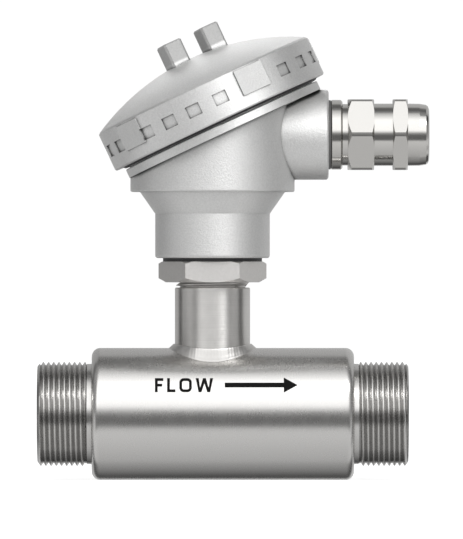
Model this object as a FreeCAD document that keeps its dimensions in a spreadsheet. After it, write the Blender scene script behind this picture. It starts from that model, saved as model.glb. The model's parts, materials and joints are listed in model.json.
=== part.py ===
import FreeCAD, Part
import os
import math
import Sketcher
import PartDesign

# Turbine flow meter, DN15, threaded ends, with a pickup head.
# Frame: +X downstream along the flow axis, +Z up towards the head,
# origin at the centre of the inlet end face. Millimetres.

doc = FreeCAD.newDocument("TurbineFlowMeter")
sheet = doc.addObject("Spreadsheet::Sheet", "Dims")
V = FreeCAD.Vector


class Size:
    """A number together with the expression that ties it to the sheet."""

    def __init__(self, value, text):
        self.value = float(value)
        self.text = text

    @staticmethod
    def of(x):
        return x if isinstance(x, Size) else Size(x, repr(float(x)))

    def __add__(a, b):
        b = Size.of(b)
        return Size(a.value + b.value, "(%s + %s)" % (a.text, b.text))

    def __radd__(a, b):
        return Size.of(b) + a

    def __sub__(a, b):
        b = Size.of(b)
        return Size(a.value - b.value, "(%s - %s)" % (a.text, b.text))

    def __rsub__(a, b):
        return Size.of(b) - a

    def __mul__(a, b):
        b = Size.of(b)
        return Size(a.value * b.value, "(%s * %s)" % (a.text, b.text))

    def __rmul__(a, b):
        return Size.of(b) * a

    def __truediv__(a, b):
        b = Size.of(b)
        return Size(a.value / b.value, "(%s / %s)" % (a.text, b.text))

    def __neg__(a):
        return Size(-a.value, "(0 - %s)" % a.text)


rows = [0]


def dim(alias, value, note=""):
    """One driving dimension: a plain number in the sheet with an alias."""
    rows[0] += 1
    r = rows[0]
    sheet.set("A%d" % r, alias)
    sheet.set("B%d" % r, str(value))
    sheet.set("C%d" % r, note)
    sheet.setAlias("B%d" % r, alias)
    return Size(value, "Dims." + alias)


# ---- meter body -------------------------------------------------------
body_length = dim("body_length", 107, "face to face")
thread_dia = dim("thread_dia", 30, "M30 x 1.5 end threads")
thread_length = dim("thread_length", 14.2, "each end")
collar_dia = dim("collar_dia", 29, "relief behind each thread")
collar_length = dim("collar_length", 1.5)
barrel_dia = dim("barrel_dia", 38.1, "round bar body")
barrel_edge = dim("barrel_edge", 2.4, "rounding at the barrel ends")
flow_bore = dim("flow_bore", 15, "DN15 measuring bore")
sleeve_bore = dim("sleeve_bore", 17, "counterbore that takes the straightener sleeves")
measure_half = dim("measure_half", 9.5, "half length of the measuring section")
sleeve_length = dim("sleeve_length", 12, "straightener sleeve")
groove_width = dim("groove_width", 1.1, "retaining ring groove")
groove_dia = dim("groove_dia", 17.9)
stub_x = dim("stub_x", 50.5, "pickup axis from the inlet face")
# ---- pickup stub ------------------------------------------------------
stub_dia = dim("stub_dia", 21.7, "half inch pipe")
stub_shoulder_z = dim("stub_shoulder_z", 36.5)
stub_top_z = dim("stub_top_z", 55)
stub_thread_dia = dim("stub_thread_dia", 20.955, "G1/2")
stub_bore = dim("stub_bore", 16)
well_floor_z = dim("well_floor_z", 9.3, "pickup well floor above the flow axis")
bead_radius = dim("bead_radius", 12.5, "weld bead reach from the stub axis")
bead_crown = dim("bead_crown", 21.2, "weld bead reach from the flow axis")
# ---- lock nut and gasket ----------------------------------------------
nut_flats = dim("nut_flats", 27)
nut_bottom_z = dim("nut_bottom_z", 38)
nut_top_z = dim("nut_top_z", 44)
neck_bottom_z = dim("neck_bottom_z", 45)
gasket_dia = dim("gasket_dia", 28.6)
thread_fit = dim("thread_fit", 0.07, "radial clearance of the mating threads")
# ---- head housing -----------------------------------------------------
neck_dia = dim("neck_dia", 33.1)
cone_bottom_z = dim("cone_bottom_z", 57.8)
cone_top_z = dim("cone_top_z", 64.1)
cone_top_dia = dim("cone_top_dia", 41.92)
head_dia = dim("head_dia", 47.4)
head_wall = dim("head_wall", 3)
chamber_floor_z = dim("chamber_floor_z", 67)
boss_z = dim("boss_z", 80.6, "conduit axis height")
boss_dia = dim("boss_dia", 26)
boss_face_x = dim("boss_face_x", 84)
entry_dia = dim("entry_dia", 16, "M16 entry thread")
# ---- tilted cover frame -----------------------------------------------
tilt_angle = dim("tilt_angle", 25, "degrees, low side upstream")
cover_x = dim("cover_x", 47.74, "centre of the rim's upper edge")
cover_z = dim("cover_z", 94.64)
flange_dia = dim("flange_dia", 60.8)
flange_low = dim("flange_low", 15.1, "below the rim's upper edge")
flange_high = dim("flange_high", 12.5)
spigot_dia = dim("spigot_dia", 58, "male thread of the housing, M58 x 2")
spigot_high = dim("spigot_high", 3.5)
pocket_dia = dim("pocket_dia", 52)
board_low = dim("board_low", 12.4, "board underside")
# ---- cover ------------------------------------------------------------
cover_dia = dim("cover_dia", 66.4)
skirt_low = dim("skirt_low", 11.6)
dome_radius = dim("dome_radius", 67.8)
dome_top = dim("dome_top", 8.75)
dome_wall = dim("dome_wall", 3)
rim_step = dim("rim_step", 0.55, "pads and recesses on the rim")
rim_recess_high = dim("rim_recess_high", 4.0)
rim_recess_low = dim("rim_recess_low", 7.5)
rim_recess_width = dim("rim_recess_width", 4.15)
lug_width = dim("lug_width", 5.6)
lug_depth = dim("lug_depth", 9)
lug_top = dim("lug_top", 15.4)
lug_turn = dim("lug_turn", 16, "degrees")
# ---- rotor ------------------------------------------------------------
rotor_dia = dim("rotor_dia", 14.4)
hub_dia = dim("hub_dia", 6)
shaft_dia = dim("shaft_dia", 1.6)
shaft_fit = dim("shaft_fit", 0.03, "radial running clearance")
blade_length = dim("blade_length", 6.6)
blade_thick = dim("blade_thick", 0.8)
blade_twist = dim("blade_twist", 40, "degrees over the blade length")
# ---- pickup -----------------------------------------------------------
pickup_dia = dim("pickup_dia", 15.8)
# ---- gland ------------------------------------------------------------
gland_ring_dia = dim("gland_ring_dia", 20.15)
gland_neck_dia = dim("gland_neck_dia", 17.8)
gland_flats = dim("gland_flats", 20.3)
gland_corner_dia = dim("gland_corner_dia", 22.8)
gland_tube_dia = dim("gland_tube_dia", 18)
cap_start_x = dim("cap_start_x", 102.5)
cap_hex_x = dim("cap_hex_x", 106.8)
cap_end_x = dim("cap_end_x", 113)
cable_dia = dim("cable_dia", 8, "cable the seal takes")
doc.recompute()

nodes = []


def new_body(label):
    b = doc.addObject("PartDesign::Body", label)
    b.Label = label
    nodes.append(b)
    return b


def helper_body(label):
    b = doc.addObject("PartDesign::Body", label)
    return b


def origin_plane(body, role):
    return [f for f in body.Origin.OriginFeatures if f.Role == role][0]


def bind(obj, prop, size):
    if isinstance(size, Size) and "Dims." in size.text:
        obj.setExpression(prop, size.text)


def place(obj, x=0, y=0, z=0, axis=None, angle=0):
    """Placement of an object, with its numbers bound to the sheet."""
    x, y, z, angle = Size.of(x), Size.of(y), Size.of(z), Size.of(angle)
    obj.Placement = FreeCAD.Placement(V(x.value, y.value, z.value), FreeCAD.Rotation(axis or V(0, 0, 1), angle.value))
    bind(obj, "Placement.Base.x", x)
    bind(obj, "Placement.Base.y", y)
    bind(obj, "Placement.Base.z", z)
    bind(obj, "Placement.Rotation.Angle", angle)


def tilt(obj):
    """Puts an object's own X, Y, Z along u, y, n of the tilted cover frame."""
    place(obj, cover_x, 0, cover_z, V(0, -1, 0), tilt_angle)


def attach(body, sk, role, off=(0, 0, 0), angle=0):
    sk.AttachmentSupport = [(origin_plane(body, role), "")]
    sk.MapMode = "FlatFace"
    off = [Size.of(o) for o in off]
    angle = Size.of(angle)
    sk.AttachmentOffset = FreeCAD.Placement(V(off[0].value, off[1].value, off[2].value), FreeCAD.Rotation(V(0, 0, 1), angle.value))
    for k, o in zip("xyz", off):
        bind(sk, "AttachmentOffset.Base." + k, o)
    bind(sk, "AttachmentOffset.Rotation.Angle", angle)


def outline(body, name, role, pts, off=(0, 0, 0), angle=0, arcs=None):
    """Closed outline. Each corner is tied to the sheet; arcs maps a segment's
    number to the centre of its arc. A corner given as (x, y, "y") leaves y to the arc."""
    sk = body.newObject("Sketcher::SketchObject", name)
    attach(body, sk, role, off, angle)
    arcs = arcs or {}
    free = [p[2] if len(p) > 2 else "" for p in pts]
    pts = [(Size.of(p[0]), Size.of(p[1])) for p in pts]
    n = len(pts)
    ends = []
    for i in range(n):
        a = V(pts[i][0].value, pts[i][1].value, 0)
        b = V(pts[(i + 1) % n][0].value, pts[(i + 1) % n][1].value, 0)
        if i in arcs:
            cx, cy = Size.of(arcs[i][0]), Size.of(arcs[i][1])
            c = V(cx.value, cy.value, 0)
            r = (a - c).Length
            ta = math.atan2(a.y - c.y, a.x - c.x)
            tb = math.atan2(b.y - c.y, b.x - c.x)
            ccw = (tb - ta) % (2 * math.pi) < math.pi
            t0, t1 = (ta, tb) if ccw else (tb, ta)
            sk.addGeometry(Part.ArcOfCircle(Part.Circle(c, V(0, 0, 1), r), t0, t1), False)
            ends.append((1, 2) if ccw else (2, 1))
        else:
            sk.addGeometry(Part.LineSegment(a, b), False)
            ends.append((1, 2))
    for i in range(n):
        j = (i + 1) % n
        sk.addConstraint(Sketcher.Constraint("Coincident", i, ends[i][1], j, ends[j][0]))
    ties = []
    for i in range(n):
        if free[i] != "x":
            ties.append(("DistanceX", i, ends[i][0], pts[i][0]))
        if free[i] != "y":
            ties.append(("DistanceY", i, ends[i][0], pts[i][1]))
        if i in arcs:
            ties.append(("DistanceX", i, 3, Size.of(arcs[i][0])))
            ties.append(("DistanceY", i, 3, Size.of(arcs[i][1])))
    for kind, g, e, s in ties:
        k = sk.addConstraint(Sketcher.Constraint(kind, -1, 1, g, e, s.value))
        bind(sk, "Constraints[%d]" % k, s)
    return sk


def disc(body, name, role, cx, cy, r, off=(0, 0, 0), hole=None):
    """One circle, or two for a ring, with its centre and radius tied to the sheet."""
    sk = body.newObject("Sketcher::SketchObject", name)
    attach(body, sk, role, off)
    cx, cy = Size.of(cx), Size.of(cy)
    for r in [Size.of(r)] + ([Size.of(hole)] if hole is not None else []):
        g = sk.addGeometry(Part.Circle(V(cx.value, cy.value, 0), V(0, 0, 1), r.value), False)
        for kind, s in (("DistanceX", cx), ("DistanceY", cy)):
            k = sk.addConstraint(Sketcher.Constraint(kind, -1, 1, g, 3, s.value))
            bind(sk, "Constraints[%d]" % k, s)
        k = sk.addConstraint(Sketcher.Constraint("Radius", g, r.value))
        bind(sk, "Constraints[%d]" % k, r)
    return sk


def turned(body, name, pts, axis, off=(0, 0, 0), angle=0, cut=False, arcs=None):
    """Revolved about the outline's own H or V axis, drawn in the XZ plane."""
    sk = outline(body, name + "Outline", "XZ_Plane", pts, off, angle, arcs)
    kind = "PartDesign::Groove" if cut else "PartDesign::Revolution"
    f = body.newObject(kind, name)
    f.Profile = sk
    f.ReferenceAxis = (sk, [axis + "_Axis"])
    f.Angle = 360
    body.Tip = f
    return f


def extruded(body, name, sk, length, cut=False, back=False, both=False):
    f = body.newObject("PartDesign::Pocket" if cut else "PartDesign::Pad", name)
    f.Profile = sk
    length = Size.of(length)
    f.Length = length.value
    bind(f, "Length", length)
    f.Reversed = back
    if both:
        f.Midplane = True
    body.Tip = f
    return f


def tube(body, name, r_in, r_out, a, b, axis="V", off=(0, 0, 0)):
    if axis == "V":
        pts = [(r_in, a), (r_out, a), (r_out, b), (r_in, b)]
    else:
        pts = [(a, r_in), (b, r_in), (b, r_out), (a, r_out)]
    return turned(body, name, pts, axis, off)


def hexagon(flats):
    """Corners of a hexagon with two of them on the outline's x axis."""
    half, r = flats / 2.0, flats / math.sqrt(3)
    q = r / 2.0
    return [(r, 0), (q, half), (-q, half), (-r, 0), (-q, -half), (q, -half)]


def round_edges(body, name, picks, radius, kind="PartDesign::Fillet"):
    """Rounds circular edges given as (axis letter, position along it, radius, frame)."""
    doc.recompute()
    base = body.Tip
    found = []
    for axis, pos, r, origin, direction in picks:
        for i, e in enumerate(base.Shape.Edges):
            c = e.Curve
            if not isinstance(c, Part.Circle):
                continue
            along = (c.Center - origin).dot(direction)
            off = (c.Center - origin - direction * along).Length
            if abs(c.Axis.dot(direction)) > 0.999 and off < 0.01 and abs(along - pos) < 0.02 and abs(c.Radius - r) < 0.02:
                found.append("Edge%d" % (i + 1))
    if not found:
        raise RuntimeError("no edge found for " + name)
    f = body.newObject(kind, name)
    f.Base = (base, sorted(set(found)))
    radius = Size.of(radius)
    if kind.endswith("Fillet"):
        f.Radius = radius.value
        bind(f, "Radius", radius)
    else:
        f.Size = radius.value
        bind(f, "Size", radius)
    body.Tip = f
    doc.recompute()
    return f


def group(label, bodies):
    """Identical loose pieces kept together in one node."""
    g = doc.addObject("Part::Compound", label)
    g.Label = label
    g.Links = bodies
    nodes.append(g)
    return g


X, Y, Z, O = V(1, 0, 0), V(0, 1, 0), V(0, 0, 1), V(0, 0, 0)
half_tilt = math.radians(tilt_angle.value)
N = V(-math.sin(half_tilt), 0, math.cos(half_tilt))
U = V(math.cos(half_tilt), 0, math.sin(half_tilt))
C = V(cover_x.value, 0, cover_z.value)

# ======================================================================
# Meter body: turned bar with threaded ends, bored through, pickup well on top
# ======================================================================
sec_a = stub_x - measure_half
sec_b = stub_x + measure_half
ring_a = sec_a - sleeve_length
ring_b = sec_b + sleeve_length
r_sleeve, r_flow, r_groove = sleeve_bore / 2, flow_bore / 2, groove_dia / 2
r_thread, r_collar, r_barrel = thread_dia / 2, collar_dia / 2, barrel_dia / 2
shoulder_a = thread_length + collar_length
shoulder_b = body_length - thread_length - collar_length

meter_body = new_body("meter_body")
turned(meter_body, "BodyBar", [
    (0, r_sleeve), (ring_a - groove_width, r_sleeve), (ring_a - groove_width, r_groove), (ring_a, r_groove),
    (ring_a, r_sleeve), (sec_a, r_sleeve), (sec_a, r_flow), (sec_b, r_flow), (sec_b, r_sleeve),
    (ring_b, r_sleeve), (ring_b, r_groove), (ring_b + groove_width, r_groove), (ring_b + groove_width, r_sleeve),
    (body_length, r_sleeve), (body_length, r_thread), (body_length - thread_length, r_thread),
    (body_length - thread_length, r_collar), (shoulder_b, r_collar), (shoulder_b, r_barrel),
    (shoulder_a, r_barrel), (shoulder_a, r_collar), (thread_length, r_collar), (thread_length, r_thread), (0, r_thread)], "H")
turned(meter_body, "PickupWell", [(0, well_floor_z), (stub_bore / 2, well_floor_z), (stub_bore / 2, 30), (0, 30)],
       "V", (stub_x, 0, 0), cut=True)
round_edges(meter_body, "BarrelEdges", [("X", 0, r_barrel.value, V(shoulder_a.value, 0, 0), X),
                                        ("X", 0, r_barrel.value, V(shoulder_b.value, 0, 0), X)], barrel_edge)

# ======================================================================
# Pickup stub: half inch pipe, saddle cut to the barrel, G1/2 thread on top
# ======================================================================
pickup_stub = new_body("pickup_stub")
turned(pickup_stub, "StubPipe", [
    (stub_bore / 2, 0), (stub_dia / 2, 0), (stub_dia / 2, stub_shoulder_z), (stub_thread_dia / 2, stub_shoulder_z),
    (stub_thread_dia / 2, stub_top_z - 0.8), (stub_thread_dia / 2 - 0.8, stub_top_z), (stub_bore / 2, stub_top_z)], "V")
turned(pickup_stub, "StubSaddle", [(-14, 0), (14, 0), (14, r_barrel), (-14, r_barrel)], "H", cut=True)
place(pickup_stub, stub_x)

# Weld bead: fills the corner between stub and barrel all round
weld_bead = new_body("weld_bead")
turned(weld_bead, "BeadBlank", [(stub_dia / 2, 12), (bead_radius, 12), (bead_radius, 19.6), (stub_dia / 2, 23.5)], "V")
turned(weld_bead, "BeadSaddle", [(-14, 0), (14, 0), (14, r_barrel), (-14, r_barrel)], "H", cut=True)
turned(weld_bead, "BeadCrown", [(-14, bead_crown), (14, bead_crown), (14, 32), (-14, 32)], "H", cut=True)
place(weld_bead, stub_x)

# ======================================================================
# Straighteners: sleeve, four vanes and a streamlined hub, one each side
# ======================================================================
hub_r = hub_dia / 2
hub_gap = dim("hub_gap", 5.3, "hub end from the pickup axis")
bearing_dia = dim("bearing_dia", 3.5)
bearing_length = dim("bearing_length", 4)
doc.recompute()


def straightener(label, side):
    b = new_body(label)

    def at(d):
        d = Size.of(d)
        return d if side > 0 else -d
    inner, outer = measure_half, measure_half + sleeve_length
    turned(b, label + "Hub", [
        (at(hub_gap), bearing_dia / 2), (at(hub_gap), hub_r), (at(21.5), hub_r), (at(24.5), hub_r - 0.5),
        (at(26.5), hub_r - 1.5), (at(27.5), 0.6), (at(27.7), 0), (at(hub_gap + bearing_length + 1), 0),
        (at(hub_gap + bearing_length + 1), 1), (at(hub_gap + bearing_length), 1),
        (at(hub_gap + bearing_length), bearing_dia / 2)], "H")
    vane = outline(b, label + "VaneOutline", "XY_Plane", [
        (at(inner + 1), hub_r - 0.4), (at(outer - 1), hub_r - 0.4), (at(outer - 1), r_flow + 0.3), (at(inner + 1), r_flow + 0.3)])
    pad = extruded(b, label + "Vane", vane, blade_thick, both=True)
    doc.recompute()
    pol = b.newObject("PartDesign::PolarPattern", label + "Vanes")
    pol.Originals = [pad]
    pol.Axis = ([f for f in b.Origin.OriginFeatures if f.Role == "X_Axis"][0], [""])
    pol.Angle = 360
    pol.Occurrences = 4
    b.Tip = pol
    turned(b, label + "Sleeve", [(at(inner), r_flow), (at(outer), r_flow), (at(outer), r_sleeve), (at(inner), r_sleeve)], "H")
    place(b, stub_x, 0, 0, V(1, 0, 0), 45)
    return b


upstream_straightener = straightener("upstream_straightener", -1)
downstream_straightener = straightener("downstream_straightener", 1)


def bearing(label, side):
    b = new_body(label)
    a, e = hub_gap, hub_gap + bearing_length
    if side < 0:
        a, e = -a, -e
    turned(b, label + "Bush", [(a, shaft_dia / 2 + shaft_fit), (a, bearing_dia / 2), (e, bearing_dia / 2), (e, shaft_dia / 2 + shaft_fit)], "H")
    place(b, stub_x)
    return b


bearing("upstream_bearing", -1)
bearing("downstream_bearing", 1)

washers = []
for k, side in (("A", -1), ("B", 1)):
    b = helper_body("thrust_washer_" + k)
    a, e = hub_gap, hub_gap - 0.3
    if side < 0:
        a, e = -a, -e
    turned(b, "Washer" + k, [(a, 0.95), (a, 1.7), (e, 1.7), (e, 0.95)], "H")
    place(b, stub_x)
    washers.append(b)
group("thrust_washers", washers)

# Internal retaining rings, open at the bottom, with two plier eyes
rings = []
for k, start in (("A", ring_a - groove_width + 0.05), ("B", ring_b + 0.05)):
    b = helper_body("retaining_ring_" + k)
    extruded(b, "RingBlank" + k, disc(b, "RingSketch" + k, "YZ_Plane", 0, 0, groove_dia / 2 - 0.05, hole=7.4), 1.0)
    for j, s in enumerate((-1, 1)):
        extruded(b, "RingEye%s%d" % (k, j), disc(b, "RingEyeSketch%s%d" % (k, j), "YZ_Plane", s * 2.1, -7.2, 1.35), 1.0)
    sk = outline(b, "RingGapSketch" + k, "YZ_Plane", [(-0.9, -5), (-0.9, -10), (0.9, -10), (0.9, -5)])
    extruded(b, "RingGap" + k, sk, 1.0, cut=True, back=True)
    for j, s in enumerate((-1, 1)):
        extruded(b, "RingHole%s%d" % (k, j), disc(b, "RingHoleSketch%s%d" % (k, j), "YZ_Plane", s * 2.1, -7.0, 0.55), 1.0, cut=True, back=True)
    place(b, start)
    rings.append(b)
group("retaining_rings", rings)

# ======================================================================
# Rotor: six helical blades on a hub, with its shaft
# ======================================================================
turbine_rotor = new_body("turbine_rotor")
rotor_half = hub_gap - 0.6
turned(turbine_rotor, "RotorHub", [
    (-rotor_half, shaft_dia / 2), (rotor_half, shaft_dia / 2), (rotor_half, hub_r - 0.3), (rotor_half - 0.3, hub_r),
    (-(rotor_half - 0.3), hub_r), (-rotor_half, hub_r - 0.3)], "H")
sections = []
steps = 5
for i in range(steps):
    t = i / (steps - 1.0) - 0.5
    sk = turbine_rotor.newObject("Sketcher::SketchObject", "BladeSection%d" % i)
    ht, tip, root = blade_thick / 2, rotor_dia / 2, hub_r - 0.5
    pts = [(-ht, root), (ht, root), (ht, tip), (-ht, tip)]
    n = len(pts)
    for j in range(n):
        a, c = pts[j], pts[(j + 1) % n]
        a, c = (Size.of(a[0]), Size.of(a[1])), (Size.of(c[0]), Size.of(c[1]))
        sk.addGeometry(Part.LineSegment(V(a[0].value, a[1].value, 0), V(c[0].value, c[1].value, 0)), False)
    for j in range(n):
        sk.addConstraint(Sketcher.Constraint("Coincident", j, 2, (j + 1) % n, 1))
    for j in range(n):
        for kind, s in (("DistanceX", pts[j][0]), ("DistanceY", pts[j][1])):
            s = Size.of(s)
            k = sk.addConstraint(Sketcher.Constraint(kind, -1, 1, j, 1, s.value))
            bind(sk, "Constraints[%d]" % k, s)
    attach(turbine_rotor, sk, "YZ_Plane", (0, 0, blade_length * t), blade_twist * t)
    sections.append(sk)
blade = turbine_rotor.newObject("PartDesign::AdditiveLoft", "Blade")
blade.Profile = sections[0]
blade.Sections = sections[1:]
blade.Ruled = False
turbine_rotor.Tip = blade
doc.recompute()
blades = turbine_rotor.newObject("PartDesign::PolarPattern", "Blades")
blades.Originals = [blade]
blades.Axis = ([f for f in turbine_rotor.Origin.OriginFeatures if f.Role == "X_Axis"][0], [""])
blades.Angle = 360
blades.Occurrences = 6
turbine_rotor.Tip = blades
place(turbine_rotor, stub_x)

rotor_shaft = new_body("rotor_shaft")
turned(rotor_shaft, "Shaft", [(-9, 0), (9, 0), (9, shaft_dia / 2 - 0.3), (8.7, shaft_dia / 2), (-8.7, shaft_dia / 2), (-9, shaft_dia / 2 - 0.3)], "H")
place(rotor_shaft, stub_x)

# ======================================================================
# Pickup coil cartridge in the stub
# ======================================================================
shell_low = well_floor_z + 0.1
r_pick = pickup_dia / 2
pickup_shell = new_body("pickup_shell")
turned(pickup_shell, "Shell", [(2, shell_low), (r_pick, shell_low), (r_pick, 37), (r_pick - 1, 37), (r_pick - 1, shell_low + 0.8), (2, shell_low + 0.8)], "V")
place(pickup_shell, stub_x)
bob_low = shell_low + 0.8
pickup_bobbin = new_body("pickup_bobbin")
turned(pickup_bobbin, "Bobbin", [
    (2, bob_low), (r_pick - 1.1, bob_low), (r_pick - 1.1, bob_low + 1), (2.7, bob_low + 1), (2.7, 23), (r_pick - 1.1, 23),
    (r_pick - 1.1, 24), (2, 24)], "V")
place(pickup_bobbin, stub_x)
pickup_coil = new_body("pickup_coil")
tube(pickup_coil, "Winding", 2.7, 6.3, bob_low + 1, 23)
place(pickup_coil, stub_x)
pickup_pole_piece = new_body("pickup_pole_piece")
turned(pickup_pole_piece, "Pole", [(0, shell_low), (2, shell_low), (2, 25), (0, 25)], "V")
place(pickup_pole_piece, stub_x)
pickup_magnet = new_body("pickup_magnet")
turned(pickup_magnet, "Magnet", [(0, 25), (4, 25), (4, 31), (0, 31)], "V")
place(pickup_magnet, stub_x)
pickup_potting = new_body("pickup_potting")
turned(pickup_potting, "Potting", [(2, 24), (r_pick - 1, 24), (r_pick - 1, 36.5), (0, 36.5), (0, 31), (4, 31), (4, 25), (2, 25)], "V")
place(pickup_potting, stub_x)
pickup_retaining_ring = new_body("pickup_retaining_ring")
tube(pickup_retaining_ring, "RingNut", 5, 7.95, 37, 41)
slot_sk = outline(pickup_retaining_ring, "SlotSketch", "XY_Plane", [(-9, -0.8), (9, -0.8), (9, 0.8), (-9, 0.8)], (0, 0, 41))
extruded(pickup_retaining_ring, "Slot", slot_sk, 1.5, cut=True)
place(pickup_retaining_ring, stub_x)

# ======================================================================
# Gasket and lock nut under the head
# ======================================================================
r_fit = stub_thread_dia / 2 + thread_fit
neck_gasket = new_body("neck_gasket")
tube(neck_gasket, "Gasket", r_fit, gasket_dia / 2, nut_top_z, neck_bottom_z)
place(neck_gasket, stub_x)

lock_nut = new_body("lock_nut")
hx = outline(lock_nut, "NutHexagon", "XY_Plane", hexagon(nut_flats), (0, 0, nut_bottom_z))
extruded(lock_nut, "NutBlank", hx, nut_top_z - nut_bottom_z)
nf = nut_flats / 2
turned(lock_nut, "NutTopChamfer", [(nf + 1.05, nut_top_z), (nf + 3.05, nut_top_z - 1.155), (nf + 3.05, nut_top_z)], "V", cut=True)
turned(lock_nut, "NutBottomChamfer", [(nf, nut_bottom_z), (nf + 3, nut_bottom_z), (nf + 3, nut_bottom_z + 1.732)], "V", cut=True)
turned(lock_nut, "NutThread", [(0, nut_bottom_z - 1), (r_fit, nut_bottom_z - 1), (r_fit, nut_top_z + 1), (0, nut_top_z + 1)], "V", cut=True)
place(lock_nut, stub_x)

# ======================================================================
# Head housing: neck, cone and chamber, tilted flange and spigot, conduit boss
# ======================================================================
head_housing = new_body("head_housing")
rh = head_dia / 2
tilted = (cover_x, cover_z, 0)
turned(head_housing, "HeadColumn", [
    (0, neck_bottom_z), (neck_dia / 2, neck_bottom_z), (neck_dia / 2, cone_bottom_z), (cone_top_dia / 2, cone_top_z),
    (rh, cone_top_z), (rh, 104), (0, 104)], "V", (stub_x, 0, 0))
turned(head_housing, "ConduitBoss", [(0, 0), (boss_face_x - stub_x, 0), (boss_face_x - stub_x, boss_dia / 2), (0, boss_dia / 2)],
       "H", (stub_x, boss_z, 0))
turned(head_housing, "SlopeCut", [(0, -flange_low), (75, -flange_low), (75, 40), (0, 40)], "V", tilted, tilt_angle, cut=True)
turned(head_housing, "Flange", [
    (0, -flange_low - 0.2), (flange_dia / 2 - 6, -flange_low - 0.2), (flange_dia / 2 - 6, -flange_low), (flange_dia / 2, -flange_low),
    (flange_dia / 2, -flange_high), (spigot_dia / 2, -flange_high), (spigot_dia / 2, -spigot_high - 0.6),
    (spigot_dia / 2 - 0.6, -spigot_high), (0, -spigot_high)], "V", tilted, tilt_angle)
turned(head_housing, "BoardPocket", [(0, -board_low), (pocket_dia / 2, -board_low), (pocket_dia / 2, 5), (0, 5)], "V", tilted, tilt_angle, cut=True)
turned(head_housing, "Chamber", [(0, chamber_floor_z), (rh - head_wall, chamber_floor_z), (rh - head_wall, 112), (0, 112)],
       "V", (stub_x, 0, 0), cut=True)
turned(head_housing, "NeckThread", [(0, 40), (r_fit, 40), (r_fit, 56.5), (7, 58.5), (7, 70), (0, 70)], "V", (stub_x, 0, 0), cut=True)
turned(head_housing, "EntryThread", [(15, 0), (boss_face_x - stub_x + 1, 0), (boss_face_x - stub_x + 1, entry_dia / 2), (15, entry_dia / 2)],
       "H", (stub_x, boss_z, 0), cut=True)
board_u = dim("board_u", -3.25, "board screws in the tilted frame")
board_y = dim("board_y", 19.6)
earth_u = dim("earth_u", 22.9)
doc.recompute()
ct, st = math.cos(half_tilt), math.sin(half_tilt)
for k, s in (("A", -1), ("B", 1)):
    off = (cover_x + board_u * ct, cover_z + board_u * st, board_y * s)
    turned(head_housing, "BoardPost" + k, [(0, -24), (2, -24), (3.2, -22), (3.2, -board_low), (0, -board_low)], "V", off, tilt_angle)
    turned(head_housing, "BoardTap" + k, [(0, -20.5), (1.5, -20.5), (1.5, -board_low + 1), (0, -board_low + 1)], "V", off, tilt_angle, cut=True)
off = (cover_x + earth_u * ct, cover_z + earth_u * st, 0)
turned(head_housing, "EarthTap", [(0, -16), (1.5, -16), (1.5, -board_low + 1), (0, -board_low + 1)], "V", off, tilt_angle, cut=True)
SX = V(stub_x.value, 0, 0)
round_edges(head_housing, "NeckEdge", [("Z", neck_bottom_z.value, neck_dia.value / 2, SX, Z)], 0.8)
round_edges(head_housing, "ChamberEdge", [("Z", cone_top_z.value, rh.value, SX, Z)], 0.5)
round_edges(head_housing, "BossEdge", [("X", boss_face_x.value, boss_dia.value / 2, V(0, 0, boss_z.value), X)], 0.9)
round_edges(head_housing, "FlangeEdge", [("N", -flange_high.value, flange_dia.value / 2, C, N)], 0.35)

# ======================================================================
# Circuit board and what stands on it (tilted frame)
# ======================================================================
board_thick = dim("board_thick", 1.6)
board_cut = dim("board_cut", 13.5, "straight edge that leaves room for the cable cores")
doc.recompute()
top = -board_low + board_thick
circuit_board = new_body("circuit_board")
extruded(circuit_board, "BoardDisc", disc(circuit_board, "BoardSketch", "XY_Plane", 0, 0, 25, (0, 0, -board_low)), board_thick)
sk = outline(circuit_board, "BoardEdge", "XY_Plane", [(board_cut, -30), (30, -30), (30, 30), (board_cut, 30)], (0, 0, top + 1))
extruded(circuit_board, "BoardTrim", sk, 6, cut=True)
for k, s in (("A", 1), ("B", -1)):
    extruded(circuit_board, "BoardHole" + k, disc(circuit_board, "BoardHoleSketch" + k, "XY_Plane", board_u, board_y * s, 1.6, (0, 0, top + 1)), 6, cut=True)
tilt(circuit_board)

term_u = dim("term_u", 4.2, "left side of the terminal block")
term_pitch = dim("term_pitch", 5.08)
doc.recompute()
terminal_block = new_body("terminal_block")
sk = outline(terminal_block, "BlockFoot", "XY_Plane", [
    (term_u, -term_pitch * 2 - 0.3), (term_u + 8.6, -term_pitch * 2 - 0.3), (term_u + 8.6, term_pitch * 2 + 0.3), (term_u, term_pitch * 2 + 0.3)], (0, 0, top))
extruded(terminal_block, "Block", sk, 9)
for i in range(4):
    yc = term_pitch * (i - 1.5)
    sk = outline(terminal_block, "WireHoleSketch%d" % i, "YZ_Plane", [(yc - 1.9, top + 1.0), (yc + 1.9, top + 1.0), (yc + 1.9, top + 5.2), (yc - 1.9, top + 5.2)], (0, 0, term_u + 9))
    extruded(terminal_block, "WireHole%d" % i, sk, 7, cut=True)
    sk = disc(terminal_block, "ScrewHoleSketch%d" % i, "XY_Plane", term_u + 4.6, yc, 1.75, (0, 0, top + 10))
    extruded(terminal_block, "ScrewHole%d" % i, sk, 6, cut=True)
tilt(terminal_block)
clamps, tscrews = [], []
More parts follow.
